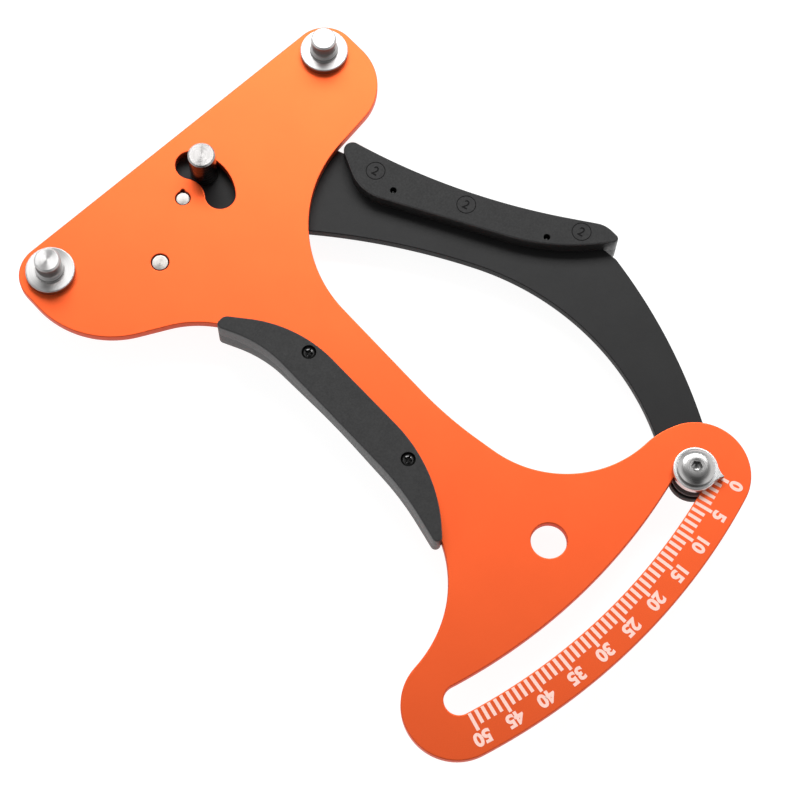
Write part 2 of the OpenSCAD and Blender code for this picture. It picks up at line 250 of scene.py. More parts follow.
def lathe(name, at, profile, n=96, **kw):
    """profile: (radius, height, corner radius) from the axis round to the axis, or a closed ring off it."""
    prof = [profile[0][:2]] if profile[0][0] == 0 else []
    pts = list(profile)
    ring = profile[0][0] > 0
    if ring:
        prof = []
        pts = [profile[-1]] + pts + [profile[0]]
    for i in range(1, len(pts) - 1):
        r = pts[i][2] if len(pts[i]) > 2 else 0
        if r > 0:
            prof += corner(pts[i - 1], pts[i], pts[i + 1], r)
        else:
            prof.append(pts[i][:2])
    if not ring:
        prof.append(profile[-1][:2])
    verts, faces, rows = [], [], []
    for r, z in prof:
        if r < 1e-6:
            rows.append([len(verts)])
            verts.append((0, 0, z))
        else:
            rows.append(list(range(len(verts), len(verts) + n)))
            verts += [(r * cos(2 * pi * i / n), r * sin(2 * pi * i / n), z) for i in range(n)]
    pairs = list(zip(rows, rows[1:])) + ([(rows[-1], rows[0])] if ring else [])
    for a, b in pairs:
        for i in range(n):
            j = (i + 1) % n
            f = [a[i % len(a)], a[j % len(a)], b[j % len(b)], b[i % len(b)]]
            f = [v for k, v in enumerate(f) if v not in f[:k]]
            if len(f) > 2:
                faces.append(tuple(f))
    return put(name, verts, faces, at=at, **kw)


def cut(o, *tools, sharp=28, join=False):
    """o with the tools cut out of it (or joined to it), as one plain mesh."""
    for t in tools:
        m = o.modifiers.new("cut", "BOOLEAN")
        m.operation = "UNION" if join else "DIFFERENCE"
        m.solver = "EXACT"
        m.object = t
    bpy.context.view_layer.update()
    me = bpy.data.meshes.new_from_object(o.evaluated_get(bpy.context.evaluated_depsgraph_get()))
    o.modifiers.clear()
    old = o.data
    mats = [m for m in old.materials]
    o.data = me
    me.materials.clear()
    for m in mats:
        me.materials.append(m)
    me.name = o.name
    bpy.data.meshes.remove(old)
    for t in tools:
        bpy.data.objects.remove(t)
    shade(o, sharp)
    return o


def tube(name, points, r, sides=14, **kw):
    pts = [Vector(p) for p in points]
    verts, faces = [], []
    for i, p in enumerate(pts):
        t = (pts[min(i + 1, len(pts) - 1)] - pts[max(i - 1, 0)]).normalized()
        side = t.cross(Vector((0, 0, 1))).normalized()
        up = side.cross(t)
        for k in range(sides):
            a = 2 * pi * k / sides
            verts.append(tuple(p + r * (side * cos(a) + up * sin(a))))
    for i in range(len(pts) - 1):
        for k in range(sides):
            m = (k + 1) % sides
            faces.append((i * sides + k, (i + 1) * sides + k, (i + 1) * sides + m, i * sides + m))
    faces.append(tuple(range(sides)))
    faces.append(tuple(reversed(range((len(pts) - 1) * sides, len(pts) * sides))))
    return put(name, verts, faces, **kw)


# ------------------------------------------------------------------ materials

def new_material(name, **sockets):
    m = bpy.data.materials.new(name)
    m.use_nodes = True
    bsdf = m.node_tree.nodes["Principled BSDF"]
    for k, v in sockets.items():
        bsdf.inputs[k.replace("_", " ")].default_value = v
    return m, m.node_tree, bsdf


def node(tree, kind, **inputs):
    n = tree.nodes.new(kind)
    for k, v in inputs.items():
        key = int(k[1:]) if k[0] == "i" and k[1:].isdigit() else k.replace("_", " ")
        n.inputs[key].default_value = v
    return n


def noise(tree, coord, scale, detail=2.0, rough=0.5, stretch=None):
    if stretch is not None:
        mp = node(tree, "ShaderNodeMapping", Scale=stretch)
        tree.links.new(coord, mp.inputs["Vector"])
        coord = mp.outputs["Vector"]
    n = node(tree, "ShaderNodeTexNoise", Scale=scale, Detail=detail, Roughness=rough)
    tree.links.new(coord, n.inputs["Vector"])
    return n.outputs["Fac"]


def ranged(tree, value, lo, hi, a=0.3, b=0.7):
    m = node(tree, "ShaderNodeMapRange", From_Min=a, From_Max=b, To_Min=lo, To_Max=hi)
    tree.links.new(value, m.inputs["Value"])
    return m.outputs["Result"]


def two_colours(tree, value, c0, c1, a=0.3, b=0.7):
    r = tree.nodes.new("ShaderNodeValToRGB")
    r.color_ramp.elements[0].position, r.color_ramp.elements[1].position = a, b
    r.color_ramp.elements[0].color, r.color_ramp.elements[1].color = (*c0, 1), (*c1, 1)
    tree.links.new(value, r.inputs["Fac"])
    return r.outputs["Color"]


def bump(tree, bsdf, heights, distance=0.00002):
    """heights: list of (value, strength); chained bumps into the shader's normal."""
    last = None
    for value, strength in heights:
        b = node(tree, "ShaderNodeBump", Strength=strength, Distance=distance)
        tree.links.new(value, b.inputs["Height"])
        if last is not None:
            tree.links.new(last, b.inputs["Normal"])
        last = b.outputs["Normal"]
    tree.links.new(last, bsdf.inputs["Normal"])


def anodised(name, tone=1.0):
    """Bead-blasted and dyed sheet: a fine grain in colour, gloss and height."""
    m, t, b = new_material(name, Metallic=0.85, Roughness=0.44)
    co = t.nodes.new("ShaderNodeTexCoord").outputs["Object"]
    grain = noise(t, co, 5200, 2, 0.6)
    cloud = noise(t, co, 60, 3, 0.5)
    col = two_colours(t, grain, (0.76 * tone, 0.104 * tone, 0.024), (0.88 * tone, 0.124 * tone, 0.031), 0.33, 0.67)
    mix = node(t, "ShaderNodeMix")
    mix.data_type = "RGBA"
    mix.blend_type = "MULTIPLY"
    mix.inputs["Factor"].default_value = 1.0
    t.links.new(col, mix.inputs["A"])
    t.links.new(two_colours(t, cloud, (0.965, 0.95, 0.95), (1, 1, 1)), mix.inputs["B"])
    t.links.new(mix.outputs["Result"], b.inputs["Base Color"])
    t.links.new(ranged(t, grain, 0.42, 0.52), b.inputs["Roughness"])
    bump(t, b, [(noise(t, co, 3600, 2, 0.6), 0.35)], 0.000012)
    return m


def black_paint(name):
    """Matt black oxide or paint on sheet, a little uneven."""
    m, t, b = new_material(name, Metallic=0.0, Roughness=0.5, Specular_IOR_Level=0.25)
    co = t.nodes.new("ShaderNodeTexCoord").outputs["Object"]
    grain = noise(t, co, 3400, 3, 0.6)
    col = two_colours(t, noise(t, co, 90, 4, 0.6), (0.0055, 0.0055, 0.0058), (0.0085, 0.0085, 0.0088))
    t.links.new(col, b.inputs["Base Color"])
    t.links.new(ranged(t, grain, 0.46, 0.58), b.inputs["Roughness"])
    bump(t, b, [(grain, 0.3)], 0.000015)
    return m


def moulded(name, tone=1.0, spec=0.42, rough=0.7):
    """Moulded plastic with a spark-eroded grain."""
    m, t, b = new_material(name, Roughness=rough, Specular_IOR_Level=spec)
    co = t.nodes.new("ShaderNodeTexCoord").outputs["Object"]
    v = node(t, "ShaderNodeTexVoronoi", Scale=2400.0)
    t.links.new(co, v.inputs["Vector"])
    grain = noise(t, co, 1700, 4, 0.65)
    lo, hi = 0.0125 * tone, 0.0175 * tone
    col = two_colours(t, noise(t, co, 260, 4, 0.6), (lo, lo, lo * 1.03), (hi, hi, hi * 1.02))
    t.links.new(col, b.inputs["Base Color"])
    t.links.new(ranged(t, grain, rough - 0.08, rough + 0.08), b.inputs["Roughness"])
    bump(t, b, [(v.outputs["Distance"], 0.35), (grain, 0.35)], 0.00003)
    return m


def turned(name, base=(0.80, 0.80, 0.80), rough=0.2, aniso=0.85, pitch=9000.0, strength=0.25):
    """Lathe-turned metal: fine rings about the piece's own axis, so highlights fan out from it."""
    m, t, b = new_material(name, Metallic=1.0, Roughness=rough, Anisotropic=aniso)
    tan_ = t.nodes.new("ShaderNodeTangent")
    tan_.direction_type = "RADIAL"
    tan_.axis = "Z"
    t.links.new(tan_.outputs["Tangent"], b.inputs["Tangent"])
    co = t.nodes.new("ShaderNodeTexCoord").outputs["Object"]
    sep = t.nodes.new("ShaderNodeSeparateXYZ")
    t.links.new(co, sep.inputs["Vector"])
    flat = node(t, "ShaderNodeCombineXYZ")
    t.links.new(sep.outputs["X"], flat.inputs["X"])
    t.links.new(sep.outputs["Y"], flat.inputs["Y"])
    ln = node(t, "ShaderNodeVectorMath")
    ln.operation = "LENGTH"
    t.links.new(flat.outputs["Vector"], ln.inputs[0])
    rings = node(t, "ShaderNodeCombineXYZ")
    t.links.new(ln.outputs["Value"], rings.inputs["X"])
    t.links.new(sep.outputs["Z"], rings.inputs["Y"])
    groove = noise(t, rings.outputs["Vector"], pitch, 3, 0.7)
    tone = noise(t, rings.outputs["Vector"], pitch * 0.25, 2, 0.5)
    lo = tuple(c * 0.86 for c in base)
    t.links.new(two_colours(t, tone, lo, base), b.inputs["Base Color"])
    t.links.new(ranged(t, groove, rough * 0.85, rough * 1.25), b.inputs["Roughness"])
    bump(t, b, [(groove, strength)], 0.000008)
    return m


def plain_steel(name, base=(0.62, 0.62, 0.61), rough=0.32, streak=(1, 1, 1)):
    m, t, b = new_material(name, Metallic=1.0, Roughness=rough)
    co = t.nodes.new("ShaderNodeTexCoord").outputs["Object"]
    n = noise(t, co, 1800, 4, 0.6, stretch=streak)
    t.links.new(two_colours(t, n, tuple(c * 0.85 for c in base), base), b.inputs["Base Color"])
    t.links.new(ranged(t, n, rough * 0.8, rough * 1.3), b.inputs["Roughness"])
    bump(t, b, [(n, 0.2)], 0.00001)
    return m


def gloss_black(name, rough=0.16):
    m, t, b = new_material(name, Roughness=rough, Metallic=0.0, Specular_IOR_Level=0.6)
    co = t.nodes.new("ShaderNodeTexCoord").outputs["Object"]
    n = noise(t, co, 1500, 3, 0.6)
    t.links.new(two_colours(t, n, (0.005, 0.005, 0.005), (0.010, 0.010, 0.010)), b.inputs["Base Color"])
    t.links.new(ranged(t, n, rough * 0.7, rough * 1.5), b.inputs["Roughness"])
    bump(t, b, [(n, 0.12)], 0.00001)
    return m


def print_ink(name):
    """Screen-printed ink: pale, a little thin in places so the dye below tints it."""
    m, t, b = new_material(name, Roughness=0.5)
    co = t.nodes.new("ShaderNodeTexCoord").outputs["Object"]
    n = noise(t, co, 2600, 3, 0.6)
    t.links.new(two_colours(t, n, (0.90, 0.55, 0.47), (0.96, 0.66, 0.58)), b.inputs["Base Color"])
    bump(t, b, [(n, 0.2)], 0.00001)
    return m


M_ORANGE = anodised("anodised_orange")
# a darker copy of the orange for the plate's side walls: painted shade
M_EDGE_SHADE = anodised("anodised_edge_painted_shade", 0.68)
M_ARM = black_paint("matt_black_sheet")
M_GRIP = moulded("moulded_black")
M_GRIP_ARM_SHADE = moulded("moulded_black_arm_painted_shade", 0.87, 0.37)   # the arm's pair gets a darker copy of the same plastic: painted shade
# the grips' side walls: glossier, with a darker base that is painted shade
M_WALL_SHADE = moulded("moulded_wall_painted_shade", 0.4, 0.9, 0.46)
# the mould marks: a darker copy of the plastic, painted shade
M_MARK_SHADE = moulded("moulded_mark_painted_shade", 0.3, 0.12)
M_TURNED = turned("turned_bright", (0.48, 0.475, 0.47), 0.34, 0.88, strength=0.4)
# the plunger: the posts' steel with a darker base, painted shade that holds down its highlight
M_PLUNGER_SHADE = turned("turned_plunger_painted_shade", (0.30, 0.292, 0.288), 0.25, 0.92, strength=0.4)
M_DOME = turned("turned_dome", (0.46, 0.455, 0.45), 0.27, 0.45)
M_POINTER = turned("turned_alloy", (0.78, 0.78, 0.78), 0.26, 0.6, 7000.0, 0.3)
M_SLEEVE = plain_steel("bush_grey", (0.17, 0.155, 0.155), 0.6)
M_SLEEVE.node_tree.nodes["Principled BSDF"].inputs["Metallic"].default_value = 0.3
M_PIN = turned("pin_end", (0.38, 0.36, 0.34), 0.34, 0.6, 8000.0, 0.3)
M_STEEL = plain_steel("washer_steel")
M_WIRE = plain_steel("spring_wire", (0.52, 0.52, 0.50), 0.28)
M_SCREW = gloss_black("screw_black")
M_RING = plain_steel("ring_dark", (0.10, 0.10, 0.10), 0.42)
M_PRINT = print_ink("printed_scale")

# ------------------------------------------------------------------ frame plate
NOTCH_A = 50                                            # the pin's hole has one small rounded notch
notch = [(x * cs(NOTCH_A)[0] - y * cs(NOTCH_A)[1], x * cs(NOTCH_A)[1] + y * cs(NOTCH_A)[0])
         for x, y in arc((0, 0), 2.3, 20, 340, 60) + [(2.55, -0.62), (2.9, -0.4), (3.0, -0.2), (3.0, 0.2), (2.9, 0.4), (2.55, 0.62)]]
plate = slab("frame_plate_anodised", FRAME_OUTLINE,
             [window(SLOT_R, SLOT_W, REST_A - SWING - SLOT_PLAY, REST_A + SLOT_PLAY), window(KIDNEY_R, KIDNEY_W, *KIDNEY_A),
              circle(HANG_AT, 5.25, 72), notch, circle(ANCHOR_AT, 2.72, 48)]
             + [circle(p, 1.6, 24) for p in POST_AT + FRAME_SCREWS],
             F1, F0, 0.28, 0.22, 3, material=M_ORANGE, body="frame", stands="frame_plate", slot="frame_orange")
plate.data.materials.append(M_EDGE_SHADE)                     # the side walls and rounded edges of the plate get a darker copy of the orange: painted shade
for f in plate.data.polygons:
    f.material_index = int(abs(f.normal.z) < 0.9)

# ------------------------------------------------------------------ printed scale
PRINT_T = 0.03


def strip(a, r0, r1, w, z0=F0, z1=F0 + PRINT_T):
    """A short bar that lies along a radius, as corner points of a thin block."""
    c, s = cs(a)
    q = [(r0, -w / 2), (r1, -w / 2), (r1, w / 2), (r0, w / 2)]
    flat = [(r * c - t * s, r * s + t * c) for r, t in q]
    return [(x, y, z0) for x, y in flat] + [(x, y, z1) for x, y in flat]


def block_faces(b):
    return [(b + 3, b + 2, b + 1, b), (b + 4, b + 5, b + 6, b + 7)] + [(b + i, b + (i + 1) % 4, b + 4 + (i + 1) % 4, b + 4 + i) for i in range(4)]


tick_v, tick_f = [], []
for i in range(51):
    b = len(tick_v)
    tick_v += strip(-72.0 - 0.65 * i, 179.0, 184.4 if i % 5 == 0 else 183.1, 1.0)
    tick_f += block_faces(b)
put("scale_lines", tick_v, tick_f, material=M_PRINT, body="frame", slot="frame_orange")


def glyph(name, text, at, height, turn, material, body, bold=0.03, thick=PRINT_T, z=F0, spacing=1.0, widen=1.0):
    """Digits from the built-in outlines, made bold, as a thin block."""
    cu = bpy.data.curves.new(name, "FONT")
    cu.body = text
    cu.size = 1.0
    cu.offset = bold
    cu.space_character = spacing
    cu.resolution_u = 6
    cu.fill_mode = "FRONT"
    tmp = bpy.data.objects.new(name, cu)
    scene.collection.objects.link(tmp)
    bpy.context.view_layer.update()
    me = bpy.data.meshes.new_from_object(tmp.evaluated_get(bpy.context.evaluated_depsgraph_get()))
    bpy.data.objects.remove(tmp)
    xs = [v.co.x for v in me.vertices]
    ys = [v.co.y for v in me.vertices]
    k = height / (max(ys) - min(ys))
    cx, cy = (max(xs) + min(xs)) / 2, (max(ys) + min(ys)) / 2
    bm = bmesh.new()
    bm.from_mesh(me)
    bpy.data.meshes.remove(me)
    bmesh.ops.remove_doubles(bm, verts=bm.verts, dist=1e-5)
    c, s = cs(turn)
    for v in bm.verts:
        x, y = (v.co.x - cx) * k * widen, (v.co.y - cy) * k
        v.co = Vector((at[0] + OFF.x + x * c - y * s, at[1] + OFF.y + x * s + y * c, z + OFF.z)) * 0.001
    top = bmesh.ops.extrude_face_region(bm, geom=bm.faces[:])
    for g in top["geom"]:
        if isinstance(g, bmesh.types.BMVert):
            g.co.z += thick * 0.001
    bmesh.ops.recalc_face_normals(bm, faces=bm.faces)
    for f in bm.faces:
        f.smooth = False
    out = bpy.data.meshes.new(name)
    bm.to_mesh(out)
    bm.free()
    out.materials.append(material)
    o = bpy.data.objects.new(name, out)
    scene.collection.objects.link(o)
    return place(o, body, ())


for i in range(0, 51, 5):
    a = -72.0 - 0.65 * i
    glyph(f"scale_number_{i:02d}", str(i), polar(186.8, a), 4.1, a - 90, M_PRINT, "frame", 0.045)


# ------------------------------------------------------------------ grips
def grip_half(name, outline, sheet, z_face, z_sheet, z_part, holes, **kw):
    """A moulded half: it lies on the sheet and reaches round its edge to the parting line."""
    up = z_face > z_sheet
    lo, hi = (z_part, z_face) if up else (z_face, z_part)
    g = slab(name, outline, [], lo, hi, 0.45 if up else 0.12, 0.12 if up else 0.45, 3, **kw)
    tools = [slab("tool", sheet, [], min(z_part, z_sheet) - (1 if up else 0), max(z_part, z_sheet) + (0 if up else 1), 0, 0, 1)]
    for x, y, r, z0, z1 in holes:
        tools.append(slab("tool", circle((x, y), r, 48), [], z0, z1, 0, 0, 1))
    return cut(g, *tools)


MID_F, MID_A = (F0 + F1) / 2, (A0 + A1) / 2
grip_kw = dict(material=M_GRIP)
gf = grip_half("frame_grip_front_moulded", FRAME_GRIP, FRAME_OUTLINE, F0 + GRIP_H, F0, MID_F,
               [(x, y, r, z0, z1) for x, y in FRAME_SCREWS for r, z0, z1 in ((1.6, F0 - 1, F0 + 5), (2.2, F0 + GRIP_H - 1.7, F0 + 6))], **grip_kw)
gb = grip_half("frame_grip_back_moulded", FRAME_GRIP_BACK, FRAME_OUTLINE, F1 - GRIP_H, F1, MID_F,
               [(x, y, 1.05, F1 - 6, F1 + 1) for x, y in FRAME_SCREWS], **grip_kw)
grip_kw = dict(material=M_GRIP_ARM_SHADE)
af = grip_half("arm_grip_front_moulded", ARM_GRIP, ARM_OUTLINE, A0 + GRIP_H, A0, MID_A,
               [(x, y, 1.05, A0 - 1, A0 + 6) for x, y in ARM_SCREWS], **grip_kw)
ab = grip_half("arm_grip_back_moulded", ARM_GRIP, ARM_OUTLINE, A1 - GRIP_H, A1, MID_A,
               [(x, y, r, z0, z1) for x, y in ARM_SCREWS for r, z0, z1 in ((1.6, A1 - 5, A1 + 1), (2.2, A1 - 6, A1 - GRIP_H + 1.7))], **grip_kw)
for half in (gf, gb, af, ab):                           # the side walls are glossier than the grained faces, and their darker base is painted shade
    half.data.materials.append(M_WALL_SHADE)
    for f in half.data.polygons:
        f.material_index = int(abs(f.normal.z) < 0.75)
place(gf, "frame", "frame_grip_front")
place(gb, "frame", "frame_grip_back")
place(af, "arm", "arm_grip_front")
place(ab, "arm", "arm_grip_back")

# mould marks on the arm's grip: a thin raised ring and one small plain digit in it, in a darker copy of the plastic
# that is painted shade
for k, (x, y) in enumerate(((49.2, -32.8), (61.8, -59.7), (81.3, -89.8))):
    z = A0 + GRIP_H
    lathe(f"mould_ring_{k + 1}", (x, y), [(2.75, z - 0.02), (3.0, z - 0.02), (2.97, z + 0.09, 0.03), (2.78, z + 0.09, 0.03)], 72,
          material=M_MARK_SHADE, body="arm", slot="grip_black")
    glyph(f"mould_digit_{k + 1}", "2", (x, y), 2.8, -42.97 - 30, M_MARK_SHADE, "arm", 0.0, 0.1, z)

# ------------------------------------------------------------------ arm
slab("arm_plate_black", ARM_OUTLINE,
     [circle((0, 0), 4.05, 64), circle(PLUNGER_AT, 1.6, 24), circle(POINTER_AT, 2.05, 24), circle(HOOK_AT, 1.52, 24)]
     + [circle(p, 1.6, 24) for p in ARM_SCREWS],
     A1, A0, 0.3, 0.25, 3, material=M_ARM, body="arm", stands="arm_plate", slot="arm_black")


# ------------------------------------------------------------------ posts and plunger
def post(name, at):
    return lathe(name, at, [
        (0, 4.5), (1.52, 4.0), (1.52, F0), (7.4, F0, 0.15), (7.4, FLANGE_T, 0.35), (4.3, FLANGE_T, 0.12), (4.3, FLANGE_T + 1.05, 0.12), (3.62, FLANGE_T + 1.4, 0.1),
        (3.62, FLANGE_T + 2.8, 0.1), (3.9, FLANGE_T + 3.05, 0.1), (3.9, POST_H - 0.5, 0.1), (3.4, POST_H, 0.1), (0, POST_H)], 128,
        material=M_TURNED, body="frame", stands=name, slot="turned_steel")


post("post_left", POST_AT[0]).name = "post_left_turned"
post("post_right", POST_AT[1]).name = "post_right_turned"
lathe("plunger_turned", PLUNGER_AT, [(0, 2.5), (1.52, 2.0), (1.52, A0), (4.15, A0, 0.1), (4.15, POST_H - 0.42, 0.1), (3.72, POST_H, 0.1), (0, POST_H)], 128,
      material=M_PLUNGER_SHADE, body="arm", stands="plunger", slot="turned_steel")

# ------------------------------------------------------------------ pivot, rivets and washers
lathe("pivot_pin_turned", (0, 0), [
    (0, PIN_END), (3.6, PIN_END, 0.1), (4, PIN_END + 0.4, 0.1), (4, A1 - 5.5, 0.05), (3.2, A1 - 5.5), (3.2, A1 - 4.8), (4, A1 - 4.8, 0.05), (4, F1), (2.1, F1),
    (2.1, F0 - 0.55, 0.2), (0, F0 - 0.5)], 96, material=M_PIN, body="frame", stands="pivot_pin", slot="pin_steel")
lathe("spring_anchor_turned", ANCHOR_AT, [
    (0, A1 - 2.9), (1.5, A1 - 2.9, 0.1), (1.9, A1 - 2.5, 0.1), (1.9, A1 - 2.1), (1.3, A1 - 1.9, 0.1), (1.3, A1 - 0.6, 0.1), (1.9, A1 - 0.4), (1.9, F1 - 0.6),
    (3.4, F1 - 0.6, 0.1), (3.4, F1), (2.5, F1), (2.5, F0 - 0.3, 0.25), (0, F0 - 0.25)], 72, material=M_PIN, body="frame", stands="spring_anchor_pin", slot="pin_steel")
lathe("spring_hook_turned", HOOK_AT, [
    (0, A1 - 5.5), (1.2, A1 - 5.5, 0.1), (1.5, A1 - 5.2, 0.1), (1.5, A1 - 4.9), (1, A1 - 4.75, 0.1), (1, A1 - 3.45, 0.1), (1.5, A1 - 3.3), (1.5, A1 - 0.6),
    (2.6, A1 - 0.6, 0.1), (2.6, A1), (1.5, A1), (1.5, A0), (0, A0)], 64, material=M_PIN, body="arm", stands="spring_hook_pin", slot="pin_steel")


def washer(name, at, z0, z1, ro, ri, body, stands=(), mat=None, slot="pin_steel", edge=0.1):
    return lathe(name, at, [(ri, z0, edge / 2), (ro, z0, edge), (ro, z1, edge), (ri, z1, edge / 2)], 72, material=mat or M_STEEL, body=body, stands=stands, slot=slot)


washer("pivot_spacer_ring", (0, 0), A0 + 0.05, F1, 6.6, 4.05, "frame", "pivot_spacer")
washer("pivot_washer_back", (0, 0), A1 - 0.55, A1 - 0.05, 7.5, 4.05, "frame", "pivot_back_washer")
for k, p in enumerate(POST_AT):
    w = washer(f"post_washer_{k + 1}", p, F1 - 0.6, F1, 4, 1.6, "frame", "post_washers" if k == 0 else ())
washer("plunger_washer_flat", PLUNGER_AT, A1 - 0.5, A1, 3, 1.6, "arm", "plunger_washer")

# E-shaped retaining ring in the pin's groove
def ring_loop():
    a0 = degrees(acos(sqrt(1 - (1.9 / 6) ** 2)))
    a1 = degrees(atan2(1.9, sqrt(3.25 ** 2 - 1.9 ** 2)))
    return arc((0, 0), 6, a0, 360 - a0) + arc((0, 0), 3.25, 360 - a1, a1)


slab("retaining_ring_dark", ring_loop(), [], A1 - 5.45, A1 - 4.85, 0.12, 0.12, 2, material=M_RING, body="frame", stands="retaining_ring", slot="ring_black")

# ------------------------------------------------------------------ spring
WIRE_R, COIL_R, PITCH, COIL_TOP = 0.6, 6.2, 1.25, A1 - 1.25
SIDE_A, SIDE_B = 1.3 + WIRE_R + 0.05, 1 + WIRE_R + 0.05
na, nb = hypot(*ANCHOR_AT), hypot(*HOOK_AT)
LEAN_A = degrees(atan2(ANCHOR_AT[1], ANCHOR_AT[0])) - degrees(acos((COIL_R + SIDE_A) / na))
LEAN_B = degrees(atan2(HOOK_AT[1], HOOK_AT[0])) + degrees(acos((COIL_R + SIDE_B) / nb))
TURN_A, TURN_B = LEAN_A + 360, LEAN_B - 720
COIL_BOTTOM = COIL_TOP - PITCH * (TURN_A - TURN_B) / 360


def leg(pin, side, lean, turn, z, ext=4.0, n=14):
    end = Vector((pin[0] - side * cos(radians(lean)), pin[1] - side * sin(radians(lean)), z))
    start = Vector((*polar(COIL_R, turn), z))
    u = (end - start).normalized()
    return [tuple(start + u * ((end - start).length + ext) * i / n) for i in range(1, n + 1)]


coil = []
steps = 170
for i in range(steps + 1):
    t = TURN_A + (TURN_B - TURN_A) * i / steps
    coil.append((*polar(COIL_R, t), COIL_TOP + (COIL_BOTTOM - COIL_TOP) * i / steps))
spring = tube("return_spring_wire", leg(ANCHOR_AT, SIDE_A, LEAN_A, TURN_A, COIL_TOP)[::-1] + coil + leg(HOOK_AT, SIDE_B, LEAN_B, TURN_B, COIL_BOTTOM),
              WIRE_R, 16, material=M_WIRE)
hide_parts("return_spring")
# the twist stays inside the coil, so the whole wire of each leg keeps to its own pin
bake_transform(spring)


# ------------------------------------------------------------------ screws
def cross_screw(name, at, seat, up, head_r, body_len, point_len, body, stands=()):
    """Pan-head cross recess screw; up is +1 with the head to the front."""
    s = 1 if up else -1
    o = lathe(name, at, [(0, seat - s * (body_len + point_len)), (0.3, seat - s * (body_len + point_len)), (1.0, seat - s * (body_len + point_len - 0.8), 0.1),
                         (1.0, seat - s * body_len, 0.05), (1.5, seat - s * body_len, 0.1), (1.5, seat), (head_r, seat, 0.1),
                         (head_r, seat + s * 0.75, 0.5), (head_r * 0.62, seat + s * 1.5, 2.0), (0, seat + s * 1.55)], 64, material=M_SCREW)
    tools = []
    for turn in (0, 90):
        c, sn = cs(turn + 20)
        v = []
        for w, z in ((0.2, seat + s * 0.35), (0.36, seat + s * 2.4)):
            reach = 0.75 if w < 0.3 else 1.75
            for px, py in ((-reach, -w), (reach, -w), (reach, w), (-reach, w)):
                v.append((px * c - py * sn, px * sn + py * c, z))
        tools.append(put("tool", v, block_faces(0), at=at))
    tools.append(lathe("tool", at, [(0, seat + s * 0.3), (0.62, seat + s * 0.75), (0.95, seat + s * 2.4), (0, seat + s * 2.4)], 24))
    cut(o, *tools)
    return place(o, body, stands)


for k, p in enumerate(FRAME_SCREWS):
    cross_screw(f"frame_grip_screw_{k + 1}", p, F0 + GRIP_H - 1.7, True, 2.05, GRIP_H - 1.7 + 3, 3, "frame", "frame_grip_screws" if k == 0 else ())
for k, p in enumerate(ARM_SCREWS):
    cross_screw(f"arm_grip_screw_{k + 1}", p, A1 - GRIP_H + 1.7, False, 2.05, GRIP_H - 1.7 + 3, 3, "arm", "arm_grip_screws" if k == 0 else ())


def button_screw(name, at, seat, up, length, r, head_r, head_h, key, body, stands=(), mat=None):
    """Button-head hex socket screw."""
    s = 1 if up else -1
    end = seat - s * length
    dome, flat_r = [], head_r * 0.45
    for i in range(9):                                  # an arc from the rim to the flat round the socket
        a = radians(46 * (1 - i / 8))
        dome.append((flat_r + (head_r - flat_r) * sin(a) / sin(radians(46)), seat + s * (head_h - (head_r - flat_r) * (1 - cos(a)) / sin(radians(46)))))
    prof = [(0, end), (r - 0.3, end), (r, end + s * 0.3), (r, seat), (head_r - 0.35, seat), (head_r - 0.3, seat + s * 0.12), (head_r, seat + s * 0.3)] + dome
    flat = seat + s * head_h
    kr = key / 2 / cos(radians(30))
    prof += [(kr + 0.28, flat), (kr + 0.12, flat - s * 0.1), (0, flat - s * 0.1)]
    o = lathe(name, at, prof, 128, material=mat or M_TURNED, sharp=32)
    hexa = slab("tool", circle(at, kr, 6, 12), [], min(flat - s * 1.5, flat + s), max(flat - s * 1.5, flat + s), 0, 0, 1)
    cone = lathe("tool", at, [(0, flat - s * 2.2), (key * 0.42, flat - s * 1.4), (key * 0.42, flat), (0, flat)], 24)
    cut(o, hexa, cone, sharp=32)
    return place(o, body, stands)


button_screw("pointer_screw_button", POINTER_AT, F0 + 2.6, True, 12.2, 2.0, 5.4, 2.4, 3.0, "arm", "pointer_screw", M_DOME)
for k, p in enumerate(POST_AT):
    button_screw(f"post_screw_{k + 1}", p, F1 - 0.6, False, 7.4, 1.5, 2.8, 1.7, 2.2, "frame", "post_screws" if k == 0 else (), M_STEEL)
button_screw("plunger_screw_button", PLUNGER_AT, A1 - 0.5, False, 8, 1.5, 2.7, 1.3, 2.0, "arm", "plunger_screw", M_STEEL)

# ------------------------------------------------------------------ pointer
TIP_A = REST_A + 13.6
disc = lathe("pointer_disc", POINTER_AT, [(2.05, 0.4, 0.05), (6.6, 0.4, 0.15), (6.6, 2.6, 0.4), (2.05, 2.6, 0.05)], 160, material=M_POINTER, sharp=32)
tip = []
for i in range(9):                                      # the tip's flanks leave the disc in a hollow curve
    f = i / 8
    tip.append((4.75 + (8.4 - 4.75) * f, -(4.3 * (1 - f) ** 1.45 + 0.24)))
tip += [(x, -y) for x, y in tip[::-1]]
c_, s_ = cs(TIP_A)
tip = [(POINTER_AT[0] + x * c_ - y * s_, POINTER_AT[1] + x * s_ + y * c_) for x, y in tip]
tip_o = slab("tool", tip, [], 0.4, 2.6, 0.3, 0.1, 2)
cut(disc, tip_o, join=True, sharp=32)
place(disc, "arm", "pointer")
washer("pointer_sleeve_ring", POINTER_AT, A0, 0.4, SLOT_W / 2 - 0.3, 2.05, "arm", "pointer_sleeve", M_SLEEVE, "pointer_alloy", 0.05)
washer("pointer_spacer_ring", POINTER_AT, A0, A0 + 0.85, 6.5, SLOT_W / 2 - 0.25, "arm", "pointer_spacer", M_SLEEVE, "pointer_alloy", 0.12)
nut = lathe("pointer_nut_hex", POINTER_AT, [(2.03, A1 - 2.4, 0.1), (3.3, A1 - 2.4), (4.62, A1 - 1.75), (4.62, A1), (2.03, A1)], 96, material=M_STEEL)
hexa = slab("tool", circle(POINTER_AT, 6, 96), [circle(POINTER_AT, 4.0, 6, 10)], A1 - 3, A1 + 1, 0, 0, 1)
